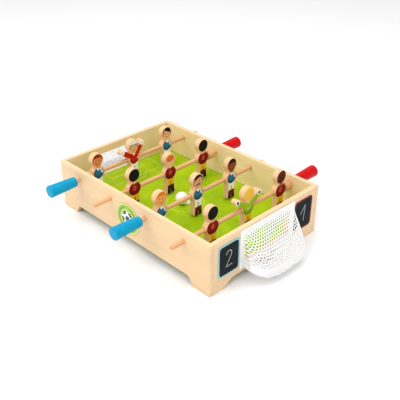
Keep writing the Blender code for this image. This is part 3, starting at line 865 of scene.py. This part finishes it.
def figure_mesh(name, hands, body_radius, thickness, settings):
    """Player cut from a board, with eased edges and a bore across the trunk."""
    outline = figure_outline(hands, body_radius, settings.points)
    points, faces = slab(outline, thickness, settings.rounding, settings.rounding_steps)
    points[:, 2] += OUTLINE_CENTRE
    figure = bpy.data.objects.new(name, mesh_of(name, points, faces))
    half = 30 * MM
    profile = np.array(((0, -half), (BORE_RADIUS, -half), (BORE_RADIUS, half), (0, half)))
    drill_mesh = mesh_of(name + "_drill", *turned(profile, (0, 0), 0, 1, sides=48))
    drill = bpy.data.objects.new(name + "_drill", drill_mesh)
    for thing in (figure, drill):
        bpy.context.scene.collection.objects.link(thing)
    bore = figure.modifiers.new("bore", "BOOLEAN")
    bore.operation = "DIFFERENCE"
    bore.object = drill
    bpy.context.view_layer.update()
    seen = figure.evaluated_get(bpy.context.evaluated_depsgraph_get())
    mesh = bpy.data.meshes.new_from_object(seen)
    for thing in (figure, drill):
        bpy.data.objects.remove(thing, do_unlink=True)
    return mesh


# ---------------------------------------------------------------- sizes from the frame

def rod_axis(name):
    """Middle of a rod's axis, (x, z), and its middle player's place along Y."""
    low, high = low_high(name + "_rod")
    centre = (low + high) / 2
    near, far = (np.mean(low_high(f"{name}_player_{word}"), axis=0) for word in ("near", "far"))
    return (centre[0], centre[2]), (near[1] + far[1]) / 2


def handle_side(name):
    """-1 where a rod's grip is on the near side, 1 on the far side."""
    low, _ = low_high(name + "_handle")
    return 1 if low[1] > 0 else -1


WALL_LOW, WALL_HIGH = low_high("side_wall_near")
HALF_LENGTH = float(WALL_HIGH[0])
HALF_WIDTH = float(-WALL_LOW[1])
WALL_THICKNESS = float(WALL_HIGH[1] - WALL_LOW[1]) / MM


# ---------------------------------------------------------------- operators

class FOOTBALL_OT_tray(bpy.types.Operator):
    """Finish the four walls and the printed field"""
    bl_idname = "football.tray"
    bl_label = "Tray and field"

    def execute(self, context):
        settings = context.scene.football
        side = wall_finish("side_wall_wood", 0, settings.wood)
        end = wall_finish("end_wall_wood", 1, settings.wood)
        for node in SIDE_WALLS:
            coat_node(node, side)
        for node in END_WALLS:
            coat_node(node, end)
        half_x = HALF_LENGTH / MM - WALL_THICKNESS
        half_y = HALF_WIDTH / MM - WALL_THICKNESS
        coat_node("playfield", field_finish(settings.paint, half_x, half_y))
        return {"FINISHED"}


class FOOTBALL_OT_boards(bpy.types.Operator):
    """Make the two chalk score boards and the round badge"""
    bl_idname = "football.boards"
    bl_label = "Score boards and badge"

    def execute(self, context):
        self.make_board("score_board_blue", srgb(150, 200, 206), CHALK_TWO)
        self.make_board("score_board_red", srgb(112, 36, 36), CHALK_ONE)
        self.make_badge()
        return {"FINISHED"}

    def make_board(self, node, border, digit):
        """Rounded board: |y / a|^n + |z / b|^n = 1, with n the roundness."""
        low, high = low_high(node)
        centre = (low + high) / 2
        halves = (high - low) / 2
        angle = np.linspace(0, 2 * np.pi, 200, endpoint=False)
        ray = np.stack((np.cos(angle), np.sin(angle)), -1)
        reach = np.sum(np.abs(ray) ** BOARD_ROUNDNESS, axis=1) ** (-1 / BOARD_ROUNDNESS)
        outline = halves[1:] * reach[:, None] * ray
        points, faces = slab(outline, 2 * halves[0], 0.35 * MM, 3)
        finish = chalkboard_finish(node + "_finish", centre, (halves[1:] / MM).tolist(),
                                   border, digit)
        add_piece(node + "_plate", mesh_of(node + "_plate", points + centre, faces),
                  finish, "tray", (node,))

    def make_badge(self):
        """Thin disc with eased edges."""
        low, high = low_high("side_badge")
        centre = (low + high) / 2
        radius = (high[0] - low[0]) / 2
        outline = arc((0, 0), radius, 0, 360, 145)[:-1]
        points, faces = slab(outline, float(high[1] - low[1]), 0.25 * MM, 3)
        points = points[:, (1, 0, 2)] + centre
        add_piece("round_badge", mesh_of("round_badge", points, faces), badge_finish(centre),
                  "tray", ("side_badge",))


class FOOTBALL_OT_rods(bpy.types.Operator):
    """Make the round rods, the painted grips and the stop rings"""
    bl_idname = "football.rods"
    bl_label = "Rods, grips and stop rings"

    def execute(self, context):
        settings = context.scene.football
        for index, name in enumerate(ROD_SETS):
            centre, _ = rod_axis(name)
            side = handle_side(name)
            self.make_rod(name, centre, settings, index)
            self.make_grip(name, centre, side, settings)
            self.make_ring(name, centre, settings, index)
        return {"FINISHED"}

    def make_rod(self, name, centre, settings, index):
        """Round rod with eased ends: a straight profile with quarter circles."""
        low, high = low_high(name + "_rod")
        length = high[1] - low[1]
        eased = 0.8 * MM
        inner = ROD_RADIUS - eased
        profile = np.concatenate((
            ((0, 0),), arc((inner, eased), eased, -90, 0, 5),
            arc((inner, length - eased), eased, 0, 90, 5), ((0, length),)))
        finish = plain_wood(name + "_rod_wood", 1, settings.wood.dowel, settings.wood,
                            11.0 * (index + 1))
        mesh = mesh_of(name + "_dowel", *turned(profile, centre, low[1], 1))
        add_piece(name + "_dowel", mesh, finish, name + "_rod",
                  (name + "_rod",))

    def make_grip(self, name, centre, side, settings):
        """Grip that widens outwards, with rounded ends and a blind bore for the rod."""
        low, high = low_high(name + "_handle")
        length = float(high[1] - low[1])
        start = float(low[1] if side > 0 else high[1])
        outer = float(high[0] - low[0]) / 2
        inner = outer - 2.5 * MM
        large = 3.2 * MM
        small = 1.6 * MM
        bore_depth = 63 * MM
        mouth = 0.5 * MM
        share = np.linspace(0, 1, 12)[:, None]
        flank = (np.array((inner, small)) * (1 - share)
                 + np.array((outer, length - large)) * share)
        profile = np.concatenate((
            ((0, bore_depth), (BORE_RADIUS, bore_depth)),
            arc((BORE_RADIUS + mouth, mouth), mouth, 180, 270, 4),
            arc((inner - small, small), small, -90, -10, 6), flank,
            arc((outer - large, length - large), large, 10, 90, 8), ((0, length),)))
        colour = settings.paint.blue if side < 0 else settings.paint.red
        finish = paint_finish(name + "_grip_paint", tuple(colour), centre, start, side)
        mesh = mesh_of(name + "_grip", *turned(profile, centre, start, side))
        add_piece(name + "_grip", mesh, finish, name + "_team",
                  (name + "_handle",))

    def make_ring(self, name, centre, settings, index):
        """Stop ring: a rectangle with rounded corners turned round the rod."""
        low, high = low_high(name + "_collar")
        length = high[1] - low[1]
        outer = (high[0] - low[0]) / 2
        eased = 1.2 * MM
        mouth = 0.4 * MM
        profile = np.concatenate((
            arc((BORE_RADIUS + mouth, mouth), mouth, 180, 270, 4),
            arc((outer - eased, eased), eased, -90, 0, 6),
            arc((outer - eased, length - eased), eased, 0, 90, 6),
            arc((BORE_RADIUS + mouth, length - mouth), mouth, 90, 180, 4)))
        finish = plain_wood(name + "_ring_wood", 1, shade(settings.wood.dowel, 0.94, 0.5),
                            settings.wood, 5.0 * (index + 3))
        mesh = mesh_of(name + "_stop_ring", *turned(profile, centre, low[1], 1, closed=True))
        add_piece(name + "_stop_ring", mesh, finish, name + "_team",
                  (name + "_collar",))


class FOOTBALL_OT_players(bpy.types.Operator):
    """Make the twelve printed players"""
    bl_idname = "football.players"
    bl_label = "Players"

    def execute(self, context):
        settings = context.scene.football
        low, high = low_high("red_front_player_near")
        thickness = float(high[0] - low[0])
        body_radius = float(high[1] - low[1]) / 2
        meshes = {"player": figure_mesh("player", (), body_radius, thickness, settings.player)}
        for name, hands in KEEPER_HANDS.items():
            meshes[name] = figure_mesh(name + "_keeper_board", hands, body_radius, thickness,
                                       settings.player)
        for name in ROD_SETS:
            axis, middle = rod_axis(name)
            side = -handle_side(name)
            far_low, _ = low_high(f"{name}_player_far")
            pitch = far_low[1] + body_radius - middle
            for step, word in ((-1, "near"), (0, "middle"), (1, "far")):
                keeper = step == 0 and name in KEEPER_HANDS
                node = f"{name}_keeper" if keeper else f"{name}_player_{word}"
                centre = (axis[0], middle + step * pitch, axis[1])
                mesh = meshes[name if keeper else "player"].copy()
                points = np.empty(len(mesh.vertices) * 3, np.float32)
                mesh.vertices.foreach_get("co", points)
                points = points.reshape(-1, 3) + np.array(centre, np.float32)
                mesh.vertices.foreach_set("co", points.ravel())
                mesh.update()
                hands = KEEPER_HANDS[name] if keeper else ()
                kit = self.kit(side, keeper)
                finish = player_finish(node + "_print", centre, side, kit, HEADS[node],
                                       hands, settings.wood, thickness)
                add_piece(node + "_figure", mesh, finish, name + "_team",
                          (node,), sharp=30)
        for mesh in meshes.values():
            bpy.data.meshes.remove(mesh)
        return {"FINISHED"}

    def kit(self, side, keeper):
        if side > 0:
            return BLUE_KEEPER_KIT if keeper else BLUE_KIT
        return RED_KEEPER_KIT if keeper else RED_KIT


class FOOTBALL_OT_ball(bpy.types.Operator):
    """Make the ball on the field"""
    bl_idname = "football.ball"
    bl_label = "Ball"

    def execute(self, context):
        low, high = low_high("ball")
        centre = (low + high) / 2
        radius = (high[2] - low[2]) / 2
        profile = arc((0, 0), radius, -90, 90, 49)
        mesh = mesh_of("white_ball", *turned(profile, centre[[0, 2]], centre[1], 1, sides=96))
        add_piece("white_ball", mesh, ball_finish(centre), "ball", ("ball",), 80)
        return {"FINISHED"}


class FOOTBALL_OT_nets(bpy.types.Operator):
    """Make the two nets and the tapes that hold them"""
    bl_idname = "football.nets"
    bl_label = "Nets and tapes"

    def execute(self, context):
        settings = context.scene.football.net
        for word, end in (("right", 1), ("left", -1)):
            tape = self.make_tape(word, end)
            self.make_net(word, end, tape, settings)
        return {"FINISHED"}

    def make_tape(self, word, end):
        """Tape round the goal.

        Its rings are rectangles between the window's edge and the tape's outer edge, and a
        section of it is a flat rounded strip that puckers along its length.
        """
        node = "net_tape_" + word
        low, high = low_high(node)
        outer = np.array((low[1], low[2], high[1], high[2]))
        inner = outer + TAPE_WIDTH * np.array((1, 1, -1, -1))
        count = 60
        share = np.linspace(0, 1, count, endpoint=False)
        corners = ((0, 1), (2, 1), (2, 3), (0, 3))
        section = np.radians(np.linspace(0, 360, 20, endpoint=False))
        width = 0.5 + 0.5 * np.sign(np.cos(section)) * np.abs(np.cos(section)) ** 0.35
        height = 0.5 + 0.5 * np.sign(np.sin(section)) * np.abs(np.sin(section)) ** 0.55
        path = []
        for i in range(4):
            first, second = corners[i], corners[(i + 1) % 4]
            for limits in (inner, outer):
                start = limits[list(first)]
                finish = limits[list(second)]
                path.append(start + (finish - start) * share[:, None])
        inside = np.concatenate(path[0::2])
        outside = np.concatenate(path[1::2])
        steps = np.arange(len(inside))
        pucker = 0.35 * MM * np.sin(steps * 1.3) * np.sin(steps * 0.37 + 1)
        run = outside - inside
        flat = inside[:, None] + run[:, None] * width[:, None]
        near, far = (low[0], high[0]) if end > 0 else (high[0], low[0])
        depth = near + (far - near) * height
        out = depth + end * pucker[:, None] * (height > 0.6)
        points = np.concatenate((out[..., None], flat), -1)
        faces = grid_faces(len(inside), len(section), True, True)
        return add_piece(node + "_band", mesh_of(node + "_band", points.reshape(-1, 3), faces),
                         tape_finish(node + "_weave"), "tray", (node,), 60)

    def bag(self, across, down, end, low, high, fold, inset):
        """Point of the bag for across -1 to 1 and down 0 to 1.

        An upright section is a cubic Bezier curve from the tape's upper to its lower edge,
        whose handles pull it out and down, less towards the sides. Upright folds start a
        sixth of the way down, are deepest in the lower half and fade out at the lower
        edge: their depth times a sine of the place across.
        """
        fullness = np.sqrt(np.maximum(1 - across ** 4, 0))
        top = high[2] - NET_THICKNESS / 2
        start = (low[0] if end > 0 else -high[0]) + NET_THICKNESS / 2
        bottom = self.bottom
        lowest = low[2] + NET_THICKNESS / 2
        handle_out = (0.45 * NET_REACH * fullness, 1.98 * NET_REACH * fullness)
        handle_up = (top - 0.35 * (top - bottom),
                     bottom - 3.0 * (bottom - lowest) * fullness)
        rest = 1 - down
        weights = (rest ** 3, 3 * rest ** 2 * down, 3 * rest * down ** 2, down ** 3)
        out = weights[1] * handle_out[0] + weights[2] * handle_out[1]
        up = (weights[0] * top + weights[1] * handle_up[0] + weights[2] * handle_up[1]
              + weights[3] * bottom)
        depth = fold * np.clip(down * 1.5 - 0.25, 0, 1) * np.sin(np.pi * np.clip(down, 0, 1)) ** 0.5
        ripple = np.sin(across * 27 + 1.3 * np.sin(across * 9 + down * 2.5))
        out = out - inset * fullness - depth * (1 - ripple) * 0.5 * fullness
        up = up + inset * 0.6 * fullness + depth * (1 - ripple) * 0.35 * fullness
        half = NET_HALF_WIDTH + NET_SIDE_BULGE * np.sin(np.pi * np.clip(down, 0, 1))
        return np.stack((end * (start + out), across * half, up), -1)

    def strands(self, surface, width, length, settings):
        """Strands of a net of six-sided meshes, carried from the flat cloth onto a surface.

        The middles of the meshes are a triangular lattice. A mesh's corners stand round its
        middle in steps of 60 degrees, and it owns three of its six edges. An edge's strand
        is a closed four-sided bar between its two ends.
        """
        cell = settings.cell
        rows = np.arange(int(length / (cell * math.sqrt(0.75))) + 2)
        columns = np.arange(int(width / cell) + 3)
        row, column = np.meshgrid(rows, columns, indexing="ij")
        middle = np.stack(((column + 0.5 * (row % 2) - 0.5) * cell,
                           row * cell * math.sqrt(0.75)), -1).reshape(-1, 1, 2)
        angle = np.radians(30 + 60 * np.arange(4))
        corner = middle + cell / math.sqrt(3) * np.stack((np.cos(angle), np.sin(angle)), -1)
        ends = np.stack((corner[:, :3], corner[:, 1:]), 2).reshape(-1, 2, 2)
        limit = np.array((width, length))
        kept = np.all((ends >= 0) & (ends <= limit), axis=(1, 2))
        ends = ends[kept]
        across = ends[..., 0] / width * 2 - 1
        down = ends[..., 1] / length
        place = surface(across, down)
        middle = surface(across.mean(1), down.mean(1))
        nudge = 0.004
        right = surface(across.mean(1) + nudge, down.mean(1)) - middle
        below = surface(across.mean(1), down.mean(1) + nudge) - middle
        normal = np.cross(right, below)
        normal /= np.linalg.norm(normal, axis=1, keepdims=True) + 1e-12
        run = place[:, 1] - place[:, 0]
        run /= np.linalg.norm(run, axis=1, keepdims=True) + 1e-12
        side = np.cross(run, normal)
        side *= settings.strand / 2 / (np.linalg.norm(side, axis=1, keepdims=True) + 1e-12)
        normal *= settings.depth / 2
        reach = run * settings.strand * 0.3
        bars = []
        for at, push in ((0, -1), (1, 1)):
            for a, b in ((-1, -1), (1, -1), (1, 1), (-1, 1)):
                bars.append(place[:, at] + push * reach + a * side + b * normal)
        points = np.stack(bars, 1)
        sides = np.array(((0, 1, 2, 3), (7, 6, 5, 4), (0, 4, 5, 1), (1, 5, 6, 2),
                          (2, 6, 7, 3), (3, 7, 4, 0)))
        faces = (8 * np.arange(len(points)))[:, None, None] + sides
        return points.reshape(-1, 3), faces.reshape(-1, 4)

    def make_net(self, word, end, tape, settings):
        """Bag of netting, with a separate second layer inside its lower part."""
        node = "goal_net_" + word
        low, high = low_high(node)
        tape_low, _ = low_high("net_tape_" + word)
        self.bottom = tape_low[2] + TAPE_WIDTH / 2

        def outer(across, down):
            return self.bag(across, down, end, low, high, settings.fold, 0.0)

        def lining(across, down):
            return self.bag(across, 0.52 + 0.46 * down, end, low, high,
                            settings.fold, 1.9 * MM)

        shell, faces = self.strands(outer, SHEET_WIDTH, SHEET_LENGTH, settings)
        inner, more = self.strands(lining, SHEET_WIDTH * 1.06, SHEET_LENGTH * LINING_SHARE,
                                   settings)
        points = np.concatenate((shell, inner))
        faces = np.concatenate((faces, more + len(shell)))
        mesh = bpy.data.meshes.new(node + "_bag")
        mesh.from_pydata(points.tolist(), [], faces.tolist())
        work = bmesh.new()
        work.from_mesh(mesh)
        bmesh.ops.recalc_face_normals(work, faces=work.faces)
        work.to_mesh(mesh)
        work.free()
        net = add_piece(node + "_bag", mesh, net_finish(node + "_thread"), "tray",
                        (node,), 60)


class FOOTBALL_OT_stage(bpy.types.Operator):
    """Make the floor, the soft lights and the camera"""
    bl_idname = "football.stage"
    bl_label = "Floor, lights and camera"

    def execute(self, context):
        settings = context.scene.football.stage
        half = settings.floor / 2
        mesh = bpy.data.meshes.new("floor")
        corners = ((-half, -half, 0), (half, -half, 0), (half, half, 0), (-half, half, 0))
        mesh.from_pydata(corners, [], [(0, 1, 2, 3)])
        web = Web("pale_floor")
        cloud = web.noise(web.place(), 0.002, 2, 0.5)
        tone = web.mix(cloud * 0.3, tuple(settings.shade), srgb(240, 240, 242))
        mesh.materials.append(web.finish(tone, 0.6 + 0.1 * cloud,
                                         web.bump(cloud, 0.0001, 0.1)))
        floor = bpy.data.objects.new("floor", mesh)
        context.scene.collection.objects.link(floor)
        self.add_light("key_light", (-0.6, -2.4, 2.2), 3.0, 37)
        self.add_light("side_light", (2.4, -0.9, 1.8), 2.4, 15)
        self.add_light("top_light", (0.0, 0.1, 3.0), 3.0, 46)
        world = bpy.data.worlds.new("studio")
        world.use_nodes = True
        sky = world.node_tree.nodes["Background"].inputs
        sky["Color"].default_value = (1, 1, 1, 1)
        sky["Strength"].default_value = 0.72
        context.scene.world = world
        context.scene.view_settings.view_transform = "Standard"
        self.add_camera(context)
        return {"FINISHED"}

    def add_light(self, name, place, size, power):
        data = bpy.data.lights.new(name, "AREA")
        data.shape = "DISK"
        data.size = size
        data.energy = power
        light = bpy.data.objects.new(name, data)
        light.location = place
        aim = Vector((0, 0, 0.05)) - light.location
        light.rotation_euler = aim.to_track_quat("-Z", "Y").to_euler()
        bpy.context.scene.collection.objects.link(light)

    def add_camera(self, context):
        data = bpy.data.cameras.new("camera")
        data.lens = 56.479
        data.sensor_width = 36
        camera = bpy.data.objects.new("camera", data)
        camera.location = (0.92674, -0.86050, 0.80151)
        aim = Vector((0.039976, 0.009121, 0.0607)) - camera.location
        camera.rotation_euler = aim.to_track_quat("-Z", "Y").to_euler()
        context.scene.collection.objects.link(camera)
        context.scene.camera = camera


class FOOTBALL_PT_panel(bpy.types.Panel):
    """Settings and pieces of the tabletop football game"""
    bl_idname = "FOOTBALL_PT_panel"
    bl_label = "Tabletop football"
    bl_space_type = "VIEW_3D"
    bl_region_type = "UI"
    bl_category = "Football"

    def draw(self, context):
        settings = context.scene.football
        for group in (settings.wood, settings.paint, settings.player, settings.net,
                      settings.stage):
            column = self.layout.column(align=True)
            for name in type(group).__annotations__:
                column.prop(group, name)
        for operator in OPERATORS:
            self.layout.operator(operator.bl_idname)


OPERATORS = (FOOTBALL_OT_tray, FOOTBALL_OT_boards, FOOTBALL_OT_rods, FOOTBALL_OT_players,
             FOOTBALL_OT_ball, FOOTBALL_OT_nets, FOOTBALL_OT_stage)
CLASSES = (WoodSettings, PaintSettings, PlayerSettings, NetSettings, StageSettings,
           FootballSettings, *OPERATORS, FOOTBALL_PT_panel)


def register():
    for item in CLASSES:
        bpy.utils.register_class(item)
    bpy.types.Scene.football = PointerProperty(type=FootballSettings)


def unregister():
    del bpy.types.Scene.football
    for item in reversed(CLASSES):
        bpy.utils.unregister_class(item)


def main():
    register()
    bpy.ops.football.tray()
    bpy.ops.football.boards()
    bpy.ops.football.rods()
    bpy.ops.football.players()
    bpy.ops.football.ball()
    bpy.ops.football.nets()
    bpy.ops.football.stage()


if __name__ == "__main__":
    main()
